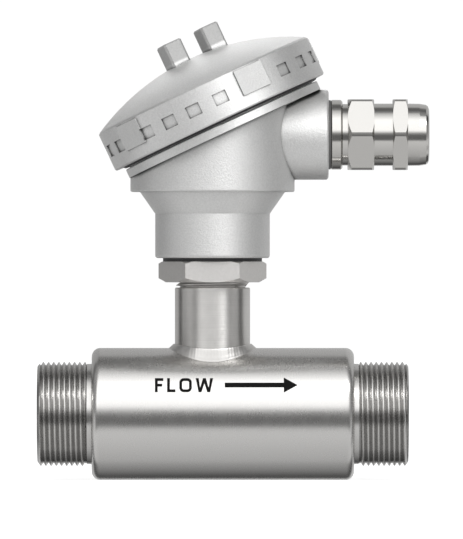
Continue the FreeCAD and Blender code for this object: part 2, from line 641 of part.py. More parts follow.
for i in range(4):
    yc = term_pitch * (i - 1.5)
    b = helper_body("terminal_clamp_%d" % i)
    sk = outline(b, "ClampSketch%d" % i, "YZ_Plane", [(yc - 1.8, top + 1.05), (yc + 1.8, top + 1.05), (yc + 1.8, top + 5.0), (yc - 1.8, top + 5.0)], (0, 0, term_u + 3.0))
    extruded(b, "Clamp%d" % i, sk, 3.4)
    sk = outline(b, "ClampMouthSketch%d" % i, "YZ_Plane", [(yc - 1.2, top + 1.6), (yc + 1.2, top + 1.6), (yc + 1.2, top + 3.4), (yc - 1.2, top + 3.4)], (0, 0, term_u + 7))
    extruded(b, "ClampMouth%d" % i, sk, 5, cut=True)
    tilt(b)
    clamps.append(b)
    b = helper_body("terminal_screw_%d" % i)
    turned(b, "TermScrew%d" % i, [(0, 5.0), (1.25, 5.0), (1.25, 5.6), (1.65, 5.6), (1.65, 7.4), (0, 7.4)], "V", (term_u + 4.6, top, -yc))
    sk = outline(b, "TermSlotSketch%d" % i, "XY_Plane", [(term_u + 4.3, yc - 2), (term_u + 4.9, yc - 2), (term_u + 4.9, yc + 2), (term_u + 4.3, yc + 2)], (0, 0, top + 8))
    extruded(b, "TermSlot%d" % i, sk, 1.4, cut=True)
    tilt(b)
    tscrews.append(b)
group("terminal_clamps", clamps)
group("terminal_screws", tscrews)

bscrews = []
for k, s in (("A", -1), ("B", 1)):
    b = helper_body("board_screw_" + k)
    turned(b, "BoardScrew" + k, [(0, -7.0), (1.1, -7.0), (1.5, -6.6), (1.5, 0), (2.9, 0), (2.9, 1.4), (2.2, 2.0), (0, 2.0)], "V", (board_u, top, board_y * s))
    sk = outline(b, "BoardSlotSketch" + k, "XY_Plane", [
        (board_u - 3, -board_y * s - 0.4), (board_u + 3, -board_y * s - 0.4), (board_u + 3, -board_y * s + 0.4), (board_u - 3, -board_y * s + 0.4)], (0, 0, top + 3))
    extruded(b, "BoardSlot" + k, sk, 2, cut=True)
    tilt(b)
    bscrews.append(b)
group("board_screws", bscrews)

earth_screw = new_body("earth_screw")
turned(earth_screw, "EarthScrew", [(0, -3.2), (1.2, -3.2), (1.5, -2.9), (1.5, 0), (2.9, 0), (2.9, 1.3), (2.3, 1.9), (0, 1.9)], "V", (earth_u, -board_low, 0))
sk = outline(earth_screw, "EarthSlotSketch", "XY_Plane", [(earth_u - 3, -0.4), (earth_u + 3, -0.4), (earth_u + 3, 0.4), (earth_u - 3, 0.4)], (0, 0, -board_low + 3))
extruded(earth_screw, "EarthSlot", sk, 2, cut=True)
tilt(earth_screw)

amplifier_chip = new_body("amplifier_chip")
sk = outline(amplifier_chip, "ChipSketch", "XY_Plane", [(-9, -8), (-2.6, -8), (-2.6, 2), (-9, 2)], (0, 0, top))
extruded(amplifier_chip, "Chip", sk, 2.4)
tilt(amplifier_chip)
smoothing_capacitor = new_body("smoothing_capacitor")
turned(smoothing_capacitor, "Can", [(0, 0), (3.9, 0), (3.9, 0.6), (3.6, 1.0), (4, 1.4), (4, 7.6), (3.6, 8), (0, 8)], "V", (-15.5, top, -6.5))
tilt(smoothing_capacitor)
span_trimmer = new_body("span_trimmer")
sk = outline(span_trimmer, "TrimmerSketch", "XY_Plane", [(-19, -7), (-12.5, -7), (-12.5, -0.5), (-19, -0.5)], (0, 0, top))
extruded(span_trimmer, "TrimmerBox", sk, 4.6)
extruded(span_trimmer, "TrimmerKnob", disc(span_trimmer, "TrimmerKnobSketch", "XY_Plane", -15.75, -3.75, 1.7, (0, 0, top + 4.6)), 0.7)
tilt(span_trimmer)

# Two pickup leads, up the neck to the board
leads = []
for k, s in (("A", -1), ("B", 1)):
    b = helper_body("pickup_lead_" + k)
    turned(b, "Lead" + k, [(0, 37), (0.55, 37), (0.55, 81.2), (0, 81.2)], "V", (0.75 * s, 0, 0))
    place(b, stub_x)
    leads.append(b)
group("pickup_leads", leads)

# ======================================================================
# Cable gland
# ======================================================================
gland_washer = new_body("gland_washer")
gx0 = boss_face_x
gx1 = boss_face_x + 0.6
tube(gland_washer, "SealWasher", entry_dia / 2, 10, gx0, gx1, "H")
place(gland_washer, 0, 0, boss_z)

gland_body = new_body("gland_body")
gr, gn, gt = gland_ring_dia / 2, gland_neck_dia / 2, gland_tube_dia / 2
gc = gland_corner_dia / 2
sk = outline(gland_body, "EntryHexagon", "YZ_Plane", hexagon(gland_flats), (0, 0, 89.5))
extruded(gland_body, "EntryHex", sk, 7.6)
gf = gland_flats / 2
turned(gland_body, "EntryHexTurn", [
    (89, gf), (89.5, gf), (90.6, gc), (96.5, gc), (97.1, gf + 0.2), (97.6, gf), (97.6, 14), (89, 14)], "H", cut=True)
turned(gland_body, "GlandTurned", [
    (74, 4.5), (98, 4.5), (98.6, 6), (108, 6), (108, 7.5), (cap_start_x, 7.5), (cap_start_x, gt), (97.1, gt), (89.5, gt),
    (89.5, gn), (88, gn), (88, gr - 0.5), (87.5, gr), (85, gr), (84.6, gr - 0.4), (84.6, entry_dia / 2), (74, entry_dia / 2)], "H")
turned(gland_body, "GlandBore", [(70, 0), (98, 0), (98, 4.5), (70, 4.5)], "H", cut=True)
turned(gland_body, "SealSeat", [(97.9, 0), (98, 4.5), (98.6, 6), (110, 6), (110, 0)], "H", cut=True)
place(gland_body, 0, 0, boss_z)

gland_seal = new_body("gland_seal")
turned(gland_seal, "Seal", [(99, cable_dia / 2), (109, cable_dia / 2), (109, 5.6), (108.5, 5.95), (99.5, 5.95), (99, 5.5)], "H")
place(gland_seal, 0, 0, boss_z)

gland_pressure_ring = new_body("gland_pressure_ring")
tube(gland_pressure_ring, "PressureRing", 4.4, 7, 109.3, 110.8, "H")
place(gland_pressure_ring, 0, 0, boss_z)

gland_cap_nut = new_body("gland_cap_nut")
sk = outline(gland_cap_nut, "CapHexagon", "YZ_Plane", hexagon(gland_flats), (0, 0, cap_start_x))
extruded(gland_cap_nut, "CapHex", sk, cap_hex_x - cap_start_x)
turned(gland_cap_nut, "CapHexTurn", [
    (cap_start_x - 0.5, gf), (cap_start_x, gf), (cap_start_x + 0.6, gc), (cap_hex_x - 0.6, gc), (cap_hex_x, gf + 0.2),
    (cap_hex_x + 0.5, gf), (cap_hex_x + 0.5, 14), (cap_start_x - 0.5, 14)], "H", cut=True)
turned(gland_cap_nut, "CapDome", [
    (cap_hex_x, 0), (cap_hex_x, gt), (110.2, gt - 0.05), (112.1, gt - 0.35), (112.7, gt - 0.8), (cap_end_x, gt - 1.7), (cap_end_x, 5.2), (112.4, 4.6), (112.4, 0)], "H")
turned(gland_cap_nut, "CapBore", [
    (cap_start_x - 1, 0), (cap_start_x - 1, 7.5 + thread_fit), (111, 7.5 + thread_fit), (111, 4.6), (112.4, 4.6), (113.5, 5.7), (113.5, 0)], "H", cut=True)
place(gland_cap_nut, 0, 0, boss_z)

# ======================================================================
# Cover and its seal ring (tilted frame)
# ======================================================================
cover_oring = new_body("cover_oring")
ring_r = dim("ring_r", 29.95, "seal ring, centre line")
doc.recompute()
seal = cover_oring.newObject("PartDesign::AdditiveTorus", "SealTorus")
seal.Radius1 = ring_r.value
bind(seal, "Radius1", ring_r)
seal.Radius2 = 0.8
seal.AttachmentSupport = [(origin_plane(cover_oring, "XY_Plane"), "")]
seal.MapMode = "FlatFace"
seal.AttachmentOffset = FreeCAD.Placement(V(0, 0, -11.35), FreeCAD.Rotation())
cover_oring.Tip = seal
tilt(cover_oring)

head_cover = new_body("head_cover")
rc = cover_dia / 2
fit_r = spigot_dia / 2 + thread_fit
dome_c = dome_top - dome_radius
inner_r = dome_radius - dome_wall
rim_in = pocket_dia / 2
edge_r = rc - 0.55
edge_n = Size.of(dome_c.value + math.sqrt(dome_radius.value ** 2 - edge_r.value ** 2))
rim_n = Size.of(dome_c.value + math.sqrt(inner_r.value ** 2 - rim_in.value ** 2))
turned(head_cover, "CoverShell", [
    (0, dome_top), (edge_r, edge_n, "y"), (rc, -0.2), (rc, -skirt_low + 0.35), (rc - 0.35, -skirt_low), (30.95, -skirt_low), (30.95, -10.5), (fit_r, -10.5),
    (fit_r, -spigot_high + 0.5), (rim_in, -spigot_high + 0.5), (rim_in, rim_n, "y"), (0, dome_top - dome_wall)],
    "V", arcs={0: (0, dome_c), 10: (0, dome_c)})
for k, (u, y) in enumerate(((-3.85, -2.6), (7.75, 0.6))):
    lw, ld, lr = lug_width / 2, lug_depth / 2, 0.6
    sk = outline(head_cover, "LugSketch%d" % k, "XY_Plane", [
        (-lw + lr, -ld), (lw - lr, -ld), (lw, -ld + lr), (lw, ld - lr), (lw - lr, ld), (-lw + lr, ld), (-lw, ld - lr), (-lw, -ld + lr)],
        (u, y, lug_top - 0.4), lug_turn)
    extruded(head_cover, "Lug%d" % k, sk, 8.2, back=True)
    cap = outline(head_cover, "LugCapSketch%d" % k, "XY_Plane", [
        (-lw + lr, -ld), (lw - lr, -ld), (lw, -ld + lr), (lw, ld - lr), (lw - lr, ld), (-lw + lr, ld), (-lw, ld - lr), (-lw, -ld + lr)],
        (u, y, lug_top - 0.4), lug_turn)
    f = extruded(head_cover, "LugCap%d" % k, cap, 0.4)
    f.TaperAngle = -45
doc.recompute()


def rim_block(name, theta, r0, r1, n0, n1, width, cut):
    """A block standing on the rim at an angle about the cover axis."""
    sk = head_cover.newObject("Sketcher::SketchObject", name + "Sketch")
    pts = [(-width / 2, n0), (width / 2, n0), (width / 2, n1), (-width / 2, n1)]
    pts = [(Size.of(a), Size.of(b)) for a, b in pts]
    for j in range(4):
        a, c = pts[j], pts[(j + 1) % 4]
        sk.addGeometry(Part.LineSegment(V(a[0].value, a[1].value, 0), V(c[0].value, c[1].value, 0)), False)
    for j in range(4):
        sk.addConstraint(Sketcher.Constraint("Coincident", j, 2, (j + 1) % 4, 1))
    for j in range(4):
        for kind, s in (("DistanceX", pts[j][0]), ("DistanceY", pts[j][1])):
            k = sk.addConstraint(Sketcher.Constraint(kind, -1, 1, j, 1, s.value))
            bind(sk, "Constraints[%d]" % k, s)
    sk.AttachmentSupport = [(origin_plane(head_cover, "XZ_Plane"), "")]
    sk.MapMode = "FlatFace"
    # turn about the cover axis, then step out along the new normal
    q = FreeCAD.Rotation(V(0, 1, 0), theta)
    step = r1 if cut else r0
    sk.AttachmentOffset = FreeCAD.Placement(q.multVec(V(0, 0, step)), q)
    f = head_cover.newObject("PartDesign::Pocket" if cut else "PartDesign::Pad", name)
    f.Profile = sk
    f.Length = r1 - r0
    f.Reversed = False
    head_cover.Tip = f
    return f


R = cover_dia.value / 2
for k, th in enumerate((24, 106, 178, -120, -48)):
    rim_block("RimPad%d" % k, th, R - 1.6, R + rim_step.value * 0.55, -Size.of(8.0), Size.of(-0.55), Size.of(9.2), False)
for k, th in enumerate((5.2, -9.5, -23.3, -37.2, 43.5, 59.0, 74.4, 89.6, 120.4, 134.8, 149.2, 163.6, 189.5, 202.5, 215.5, 228.5, -103, -89, -75, -61)):
    rim_block("RimRecess%d" % k, th, R - rim_step.value, R + 2.0, -rim_recess_low, -rim_recess_high, rim_recess_width, True)
tilt(head_cover)
doc.recompute()

# ---- checks and export ------------------------------------------------
bad = []
for o in doc.Objects:
    if "Invalid" in o.State or "Error" in o.State:
        bad.append(o.Name + " " + str(o.State))
for o in nodes:
    s = o.Shape
    if s.isNull() or not s.isValid() or s.Volume <= 0:
        bad.append(o.Label + " shape")
if bad:
    raise RuntimeError("failed: " + "; ".join(bad))
os.makedirs("parts", exist_ok=True)
for o in nodes:
    o.Shape.exportStep("parts/%s.step" % o.Label)
    bb = o.Shape.BoundBox
    print("%-26s solids %d vol %9.2f  x %7.2f %7.2f  y %7.2f %7.2f  z %7.2f %7.2f" % (
        o.Label, len(o.Shape.Solids), o.Shape.Volume, bb.XMin, bb.XMax, bb.YMin, bb.YMax, bb.ZMin, bb.ZMax))
print(len(nodes), "nodes")
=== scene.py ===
import bpy
import bmesh
import json
import math
import numpy as np
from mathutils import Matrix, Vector


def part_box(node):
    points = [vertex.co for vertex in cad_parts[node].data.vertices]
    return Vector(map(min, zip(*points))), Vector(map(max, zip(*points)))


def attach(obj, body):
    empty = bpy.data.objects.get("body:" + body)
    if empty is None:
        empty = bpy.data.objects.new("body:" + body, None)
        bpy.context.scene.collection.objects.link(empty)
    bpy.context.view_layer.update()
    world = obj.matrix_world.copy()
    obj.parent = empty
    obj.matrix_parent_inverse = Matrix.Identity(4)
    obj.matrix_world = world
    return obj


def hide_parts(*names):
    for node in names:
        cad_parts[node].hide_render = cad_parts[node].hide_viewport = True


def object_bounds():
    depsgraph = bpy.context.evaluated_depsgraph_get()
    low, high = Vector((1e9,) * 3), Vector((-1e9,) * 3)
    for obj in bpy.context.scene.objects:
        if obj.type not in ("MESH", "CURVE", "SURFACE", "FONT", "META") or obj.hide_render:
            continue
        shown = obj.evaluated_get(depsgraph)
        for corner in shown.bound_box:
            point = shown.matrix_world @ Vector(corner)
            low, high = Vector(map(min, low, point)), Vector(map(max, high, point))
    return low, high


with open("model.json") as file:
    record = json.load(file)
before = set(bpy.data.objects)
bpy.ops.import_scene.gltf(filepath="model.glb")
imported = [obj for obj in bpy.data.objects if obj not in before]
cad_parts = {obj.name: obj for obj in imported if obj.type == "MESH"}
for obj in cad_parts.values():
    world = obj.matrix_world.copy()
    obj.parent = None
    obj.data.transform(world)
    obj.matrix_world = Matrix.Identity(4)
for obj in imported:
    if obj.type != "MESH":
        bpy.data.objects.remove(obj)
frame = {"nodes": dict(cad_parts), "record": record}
cad_box = [[float(c) for c in corner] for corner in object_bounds()]
scene = bpy.context.scene
nodes = frame["nodes"]
MM = 0.001


# ---------------------------------------------------------------- node writing
class Graph:
    """Writes a node tree. A value may be a number, a tuple or another node's output."""

    def __init__(self, tree):
        self.tree = tree
        tree.nodes.clear()

    def new(self, kind, **props):
        n = self.tree.nodes.new(kind)
        for k, v in props.items():
            setattr(n, k, v)
        return n

    def put(self, socket, value):
        if isinstance(value, bpy.types.NodeSocket):
            self.tree.links.new(value, socket)
        else:
            socket.default_value = value

    def math(self, op, *args, clamp=False):
        n = self.new("ShaderNodeMath", operation=op, use_clamp=clamp)
        for s, a in zip(n.inputs, args):
            self.put(s, a)
        return n.outputs[0]

    def step(self, value, low, high, a=0.0, b=1.0):
        n = self.new("ShaderNodeMapRange", interpolation_type="SMOOTHSTEP")
        for s, x in zip(n.inputs[:5], (value, low, high, a, b)):
            self.put(s, x)
        return n.outputs[0]

    def linear(self, value, low, high, a=0.0, b=1.0):
        n = self.new("ShaderNodeMapRange", interpolation_type="LINEAR", clamp=True)
        for s, x in zip(n.inputs[:5], (value, low, high, a, b)):
            self.put(s, x)
        return n.outputs[0]

    def band(self, value, low, high, edge):
        return self.math("MULTIPLY", self.step(value, low - edge, low + edge),
                         self.step(value, high - edge, high + edge, 1.0, 0.0))

    def mix(self, factor, a, b):
        n = self.new("ShaderNodeMix", data_type="FLOAT")
        self.put(n.inputs[0], factor); self.put(n.inputs[2], a); self.put(n.inputs[3], b)
        return n.outputs[0]

    def mixc(self, factor, a, b):
        n = self.new("ShaderNodeMix", data_type="RGBA")
        self.put(n.inputs[0], factor)
        self.put(n.inputs[6], a if isinstance(a, bpy.types.NodeSocket) else (*a, 1.0))
        self.put(n.inputs[7], b if isinstance(b, bpy.types.NodeSocket) else (*b, 1.0))
        return n.outputs[2]

    def place(self):
        """Object coordinates in millimetres."""
        tc = self.new("ShaderNodeTexCoord")
        n = self.new("ShaderNodeVectorMath", operation="SCALE")
        self.put(n.inputs[0], tc.outputs["Object"])
        n.inputs["Scale"].default_value = 1000.0
        return n.outputs[0]

    def split(self, vector):
        n = self.new("ShaderNodeSeparateXYZ")
        self.put(n.inputs[0], vector)
        return n.outputs[0], n.outputs[1], n.outputs[2]

    def join(self, x, y, z):
        n = self.new("ShaderNodeCombineXYZ")
        for s, v in zip(n.inputs, (x, y, z)):
            self.put(s, v)
        return n.outputs[0]

    def noise(self, vector, scale, detail=2.0, rough=0.5, distort=0.0):
        n = self.new("ShaderNodeTexNoise", noise_dimensions="3D")
        self.put(n.inputs["Vector"], vector)
        n.inputs["Scale"].default_value = scale
        n.inputs["Detail"].default_value = detail
        n.inputs["Roughness"].default_value = rough
        n.inputs["Distortion"].default_value = distort
        return n.outputs["Fac"]

    def cells(self, vector, scale, feature="F1"):
        n = self.new("ShaderNodeTexVoronoi", feature=feature)
        self.put(n.inputs["Vector"], vector)
        n.inputs["Scale"].default_value = scale
        return n.outputs["Distance"]

    def bump(self, height, distance, strength=1.0, normal=None):
        n = self.new("ShaderNodeBump")
        n.inputs["Strength"].default_value = strength
        n.inputs["Distance"].default_value = distance
        self.put(n.inputs["Height"], height)
        if normal is not None:
            self.put(n.inputs["Normal"], normal)
        return n.outputs[0]

    def add(self, *values):
        total = values[0]
        for v in values[1:]:
            total = self.math("ADD", total, v)
        return total

    def times(self, a, b):
        return self.math("MULTIPLY", a, b)


def material(name, base=(0.8, 0.8, 0.8), metallic=0.0, roughness=0.5, **constants):
    """A Principled material. Returns the material, its graph and its shader node."""
    m = bpy.data.materials.new(name)
    m.use_nodes = True
    g = Graph(m.node_tree)
    out = g.new("ShaderNodeOutputMaterial")
    s = g.new("ShaderNodeBsdfPrincipled")
    g.tree.links.new(s.outputs[0], out.inputs["Surface"])
    s.inputs["Base Color"].default_value = (*base, 1.0)
    s.inputs["Metallic"].default_value = metallic
    s.inputs["Roughness"].default_value = roughness
    for k, v in constants.items():
        s.inputs[k.replace("_", " ")].default_value = v
    m.diffuse_color = (*base, 1.0)
    return m, g, s


def turned(name, base, roughness, axis, anisotropic=0.6, lines=0.004, fine=6.0, wear=0.03,
           spots=0.02, spread=0.05, thread=None):
    """Metal turned on a lathe about a row axis: fine rings across the axis, a slight colour drift and rougher patches."""
    m, g, s = material(name, base, 1.0, roughness, Anisotropic=anisotropic, Anisotropic_Rotation=0.25)
    p = g.place()
    x, y, z = g.split(p)
    along = x if axis == "X" else z
    small = 0.012
    if axis == "X":
        v1 = g.join(along, g.times(y, small), g.times(z, small))
    else:
        v1 = g.join(g.times(x, small), g.times(y, small), along)
    rings = g.noise(v1, fine, 3.0, 0.65)
    broad = g.noise(v1, fine * 0.16, 2.0, 0.5)
    cloud = g.noise(p, 0.22, 3.0, 0.55)
    speck = g.noise(p, 2.4, 2.0, 0.6)
    height = g.add(g.times(rings, 1.0), g.times(broad, 0.5), g.times(speck, 0.05))
    g.put(s.inputs["Normal"], g.bump(height, lines * MM, 1.0))
    rough = g.add(roughness - spread * 0.5 - 0.01, g.times(rings, spread), g.times(g.step(cloud, 0.35, 0.7), wear))
    g.put(s.inputs["Roughness"], rough)
    shade = g.add(1.0 - spots, g.times(g.add(g.times(rings, 0.6), g.times(cloud, 0.9)), spots))
    if thread:
        # painted shade in the thread's valleys: (outer limits along the axis), root radius, crest radius, darkest
        (low, high), root, crest, dark = thread
        across = g.add(g.times(y, y), g.times(z, z)) if axis == "X" else g.add(g.times(x, x), g.times(y, y))
        radius = g.math("SQRT", across)
        inside = g.times(g.step(along, low - 0.05, low + 0.05), g.step(along, high + 0.05, high - 0.05))
        valley_shade = g.times(g.step(radius, crest, root), g.add(1.0, g.times(inside, -1.0)))
        shade = g.times(shade, g.mix(valley_shade, 1.0, dark))
    c = g.new("ShaderNodeVectorMath", operation="SCALE")
    c.inputs[0].default_value = base
    g.put(c.inputs["Scale"], shade)
    g.put(s.inputs["Base Color"], c.outputs[0])
    t = g.new("ShaderNodeTangent", direction_type="RADIAL", axis=axis)
    g.put(s.inputs["Tangent"], t.outputs[0])
    return m


def cast(name, base=(0.67, 0.67, 0.665), roughness=0.50, grain=0.075, cover=False):
    """Bead-blasted cast aluminium: an even grain with darker pits, a broad drift in tone and painted shade in the
    corners.
    """
    m, g, s = material(name, base, 0.92, roughness)
    p = g.place()
    grain1 = g.noise(p, 1.9, 3.0, 0.65)
    grain2 = g.noise(p, 4.4, 2.0, 0.6)
    pits = g.step(g.cells(p, 1.9), 0.04, 0.24)
    drift = g.noise(p, 0.09, 3.0, 0.5)
    height = g.add(g.times(grain1, 1.0), g.times(grain2, 0.5), g.times(pits, 0.22))
    g.put(s.inputs["Normal"], g.bump(height, grain * MM, 1.0))
    rough = g.add(roughness - 0.07, g.times(grain1, 0.12), g.times(drift, 0.03))
    grip_rough_and_shaded = None
    if cover:
        # the wrench lugs and the rim's grip pads: rougher than the blasted dome, and painted shade darkens their colour
        x, y, z = g.split(p)
        dx, dz = g.add(x, -47.74), g.add(z, -94.64)
        up = g.add(g.times(dx, -0.42262), g.times(dz, 0.90631))
        out = g.add(g.times(dx, 0.90631), g.times(dz, 0.42262))
        radius = g.math("SQRT", g.add(g.times(out, out), g.times(y, y)))
        grip_rough_and_shaded = g.math("MAXIMUM", g.step(up, 9.0, 9.8), g.step(radius, 33.28, 33.40, 0.0, 0.42))
        rough = g.add(rough, g.times(grip_rough_and_shaded, 0.22))
    g.put(s.inputs["Roughness"], rough)
    # painted shade: ambient occlusion within 1.3 mm darkens the colour in corners, recesses and creases
    corner = g.new("ShaderNodeAmbientOcclusion", samples=6, only_local=True)
    corner.inputs["Distance"].default_value = 1.3 * MM
    shade = g.add(0.66, g.times(grain1, 0.34), g.times(grain2, 0.20), g.times(pits, 0.05), g.times(drift, 0.06))
    shade = g.times(shade, g.step(corner.outputs["AO"], 0.35, 0.96, 0.16, 1.0))
    if cover:
        # painted shade: the lugs and grip pads are 20 percent darker in colour
        shade = g.times(shade, g.mix(grip_rough_and_shaded, 1.0, 0.80))
    c = g.new("ShaderNodeVectorMath", operation="SCALE")
    c.inputs[0].default_value = base
    g.put(c.inputs["Scale"], shade)
    g.put(s.inputs["Base Color"], c.outputs[0])
    return m


def plain_metal(name, base, roughness, grain=0.002, size=1.6, metallic=1.0):
    """Machined or drawn metal seen only close by: light scratches and small changes in tone."""
    m, g, s = material(name, base, metallic, roughness)
    p = g.place()
    a = g.noise(p, size, 3.0, 0.6)
    b = g.noise(p, size * 6, 2.0, 0.5)
    g.put(s.inputs["Normal"], g.bump(g.add(a, g.times(b, 0.5)), grain * MM, 1.0))
    g.put(s.inputs["Roughness"], g.add(roughness - 0.05, g.times(a, 0.10)))
    c = g.new("ShaderNodeVectorMath", operation="SCALE")
    c.inputs[0].default_value = base
    g.put(c.inputs["Scale"], g.add(0.90, g.times(a, 0.14), g.times(b, 0.05)))
    g.put(s.inputs["Base Color"], c.outputs[0])
    return m


def moulded(name, base, roughness=0.45, grain=0.004, size=3.0, **constants):
    """Moulded plastic, rubber or resin: fine texture, small changes in gloss and tone."""
    m, g, s = material(name, base, 0.0, roughness, **constants)
    p = g.place()
    a = g.noise(p, size, 3.0, 0.6)
    b = g.noise(p, size * 0.12, 2.0, 0.5)
    g.put(s.inputs["Normal"], g.bump(a, grain * MM, 1.0))
    g.put(s.inputs["Roughness"], g.add(roughness - 0.05, g.times(a, 0.06), g.times(b, 0.05)))
    c = g.new("ShaderNodeVectorMath", operation="SCALE")
    c.inputs[0].default_value = base
    g.put(c.inputs["Scale"], g.add(0.88, g.times(a, 0.12), g.times(b, 0.12)))
    g.put(s.inputs["Base Color"], c.outputs[0])
    return m


# ---------------------------------------------------------------- studio
def make_world():
    w = bpy.data.worlds.new("studio")
    scene.world = w
    w.use_nodes = True
    g = Graph(w.node_tree)
    out = g.new("ShaderNodeOutputWorld")
    tc = g.new("ShaderNodeTexCoord")
    x, y, z = g.split(tc.outputs["Generated"])
    deg = 180 / math.pi
    az = g.times(g.math("ARCTAN2", x, g.times(y, -1.0)), deg)     # 0 in front of the object, + to the right
    aa = g.math("ABSOLUTE", az)
    el = g.times(g.math("ARCSINE", z), deg)
    # broad surroundings: a light floor and grey walls
    below = g.linear(el, -90.0, -28.0, 0.56, 0.84)
    level = g.mix(g.step(el, -3.0, 3.0), below, 0.30)
    # paler side walls between the front light and the flags
    level = g.mix(g.times(g.band(az, 66.0, 80.0, 6.0), g.step(el, -20.0, -4.0)), level, 0.39)
    level = g.mix(g.times(g.band(az, -101.0, -86.0, 6.0), g.step(el, -20.0, -4.0)), level, 0.40)
    # the wall behind: lighter on the right, dark down at the floor
    rear = g.step(aa, 106.0, 124.0)
    rear_level = g.mix(g.step(az, -10.0, 10.0), 0.46, 0.60)
    level = g.mix(g.times(rear, g.band(el, -14.0, 60.0, 8.0)), level, rear_level)
    level = g.mix(g.times(rear, g.step(el, -16.0, -30.0)), level, g.linear(el, -90.0, -42.0, 0.54, 0.09))
    # the dark gap overhead, softest towards the front
    level = g.mix(g.times(rear, g.band(el, 62.0, 84.0, 7.0)), level, 0.17)
    level = g.mix(g.step(el, 80.0, 88.0), level, 0.34)
    # two narrow dark flags at the sides
    level = g.mix(g.times(g.band(az, 88.0, 108.0, 4.0), g.band(el, -30.0, 60.0, 10.0)), level, 0.08)
    level = g.mix(g.times(g.band(az, -127.0, -108.0, 4.0), g.band(el, -30.0, 60.0, 10.0)), level, 0.08)
    # the large front light, fading towards the top
    front = g.times(g.band(aa, -50.0, 48.0, 6.0), g.times(g.step(el, 1.0, 17.0), g.linear(el, 56.0, 94.0, 1.0, 0.08)))
    level = g.mix(front, level, g.mix(g.band(az, -50.0, -22.0, 8.0), 1.68, 2.10))
    # the darker band under it
    low = g.times(g.band(aa, -70.0, 62.0, 8.0), g.band(el, -22.0, 1.0, 4.0))
    level = g.mix(low, level, 0.17)
    bg = g.new("ShaderNodeBackground")
    g.put(bg.inputs["Color"], g.join(level, level, level))
    bg.inputs["Strength"].default_value = 1.0
    white = g.new("ShaderNodeBackground")
    white.inputs["Color"].default_value = (1, 1, 1, 1)
    white.inputs["Strength"].default_value = 1.02
    lp = g.new("ShaderNodeLightPath")
    mx = g.new("ShaderNodeMixShader")
    g.put(mx.inputs[0], lp.outputs["Is Camera Ray"])
    g.tree.links.new(bg.outputs[0], mx.inputs[1])
    g.tree.links.new(white.outputs[0], mx.inputs[2])
    g.tree.links.new(mx.outputs[0], out.inputs["Surface"])


make_world()

floor_z = cad_box[0][2]
fm = bpy.data.meshes.new("floor")
fm.from_pydata([(-3, -4, floor_z), (3, -4, floor_z), (3, 4, floor_z), (-3, 4, floor_z)], [], [(0, 1, 2, 3)])
floor = bpy.data.objects.new("floor", fm)
scene.collection.objects.link(floor)
m = bpy.data.materials.new("floor_white")
m.use_nodes = True
g = Graph(m.node_tree)
out = g.new("ShaderNodeOutputMaterial")
s = g.new("ShaderNodeBsdfPrincipled")
s.inputs["Base Color"].default_value = (0.45, 0.45, 0.45, 1)
s.inputs["Roughness"].default_value = 0.9
s.inputs["Specular IOR Level"].default_value = 0.0
s.inputs["Emission Color"].default_value = (1, 1, 1, 1)
s.inputs["Emission Strength"].default_value = 0.84
g.tree.links.new(s.outputs[0], out.inputs["Surface"])
fm.materials.append(m)
floor.visible_glossy = False
floor.visible_shadow = False

scale = 0.2887 * MM                     # metres per pixel at the axis plane
centre = Vector((50.5 * MM + (231.5 - 212.5) * scale, 0.0, (413.95 - 269.5) * scale))
distance = 3.0
cam = bpy.data.cameras.new("camera")
cam.lens = 36.0 * distance / (539 * scale)
cam.sensor_width = 36.0
cam.sensor_fit = "AUTO"
cam.clip_start = 0.1
cam.clip_end = 50.0
camera = bpy.data.objects.new("camera", cam)
scene.collection.objects.link(camera)
camera.location = (centre.x, -distance, centre.z)
camera.rotation_euler = (math.pi / 2, 0.0, 0.0)
scene.camera = camera
scene.view_settings.view_transform = "Standard"
scene.view_settings.look = "None"



def area_light(name, az, el, reach, width, height, radiance, aim=Vector((0.0505, 0.0, 0.06))):
    """A rectangular light seen from aim at that azimuth (0 in front, + right) and elevation, in degrees."""
    a, e = math.radians(az), math.radians(el)
    d = Vector((math.sin(a) * math.cos(e), -math.cos(a) * math.cos(e), math.sin(e)))
    data = bpy.data.lights.new(name, "AREA")
    data.shape = "RECTANGLE"
    data.size, data.size_y = width, height
    data.energy = radiance * math.pi * width * height
    o = bpy.data.objects.new(name, data)
    scene.collection.objects.link(o)
    o.location = aim + d * reach
    o.rotation_euler = (-d).to_track_quat("-Z", "Y").to_euler()
    return o


key = area_light("key", 38.0, 42.0, 1.1, 0.26, 0.26, 17.0)
# the cast head has its own soft lamps in place of the key
head_lit = bpy.data.collections.new("head_lit")
rest_lit = bpy.data.collections.new("rest_lit")
for light in (area_light("head_key", 25.0, 24.0, 1.1, 0.42, 0.42, 6.5),
              area_light("head_rear", -170.0, 34.0, 1.2, 0.60, 0.50, 2.0)):
    light.light_linking.receiver_collection = head_lit
for name in ("head_housing", "head_cover"):
    head_lit.objects.link(nodes[name])
    rest_lit.objects.link(nodes[name])
for entry in rest_lit.collection_objects:
    entry.light_linking.link_state = "EXCLUDE"
key.light_linking.receiver_collection = rest_lit

# ---------------------------------------------------------------- materials
TH_END = 14.2
steel_x = turned("stainless_turned", (0.625, 0.617, 0.605), 0.27, "X", anisotropic=0.60, lines=0.008,
                 thread=((TH_END, 107.0 - TH_END), 14.15, 14.72, 0.62))
steel_z = turned("stainless_pipe", (0.720, 0.708, 0.690), 0.36, "Z", anisotropic=0.85, fine=2.6, lines=0.045,
                 spots=0.24, thread=((-50.0, 36.6), 9.45, 10.25, 0.30))
aluminium = cast("blasted_aluminium")
cover_metal = cast("blasted_cover", cover=True)
nut_metal = plain_metal("plated_nut_metal", (0.84, 0.825, 0.805), 0.42, 0.003, 1.2)
gland_x = turned("nickel_plated_brass", (0.60, 0.59, 0.57), 0.15, "X", anisotropic=0.5, lines=0.003)
weld = plain_metal("weld_metal", (0.60, 0.59, 0.575), 0.37, 0.018, 1.0)
rubber = moulded("black_rubber", (0.015, 0.015, 0.016), 0.55, 0.006, 4.0)
ink = moulded("black_ink", (0.004, 0.004, 0.004), 0.75, 0.002, 6.0, Specular_IOR_Level=0.12)

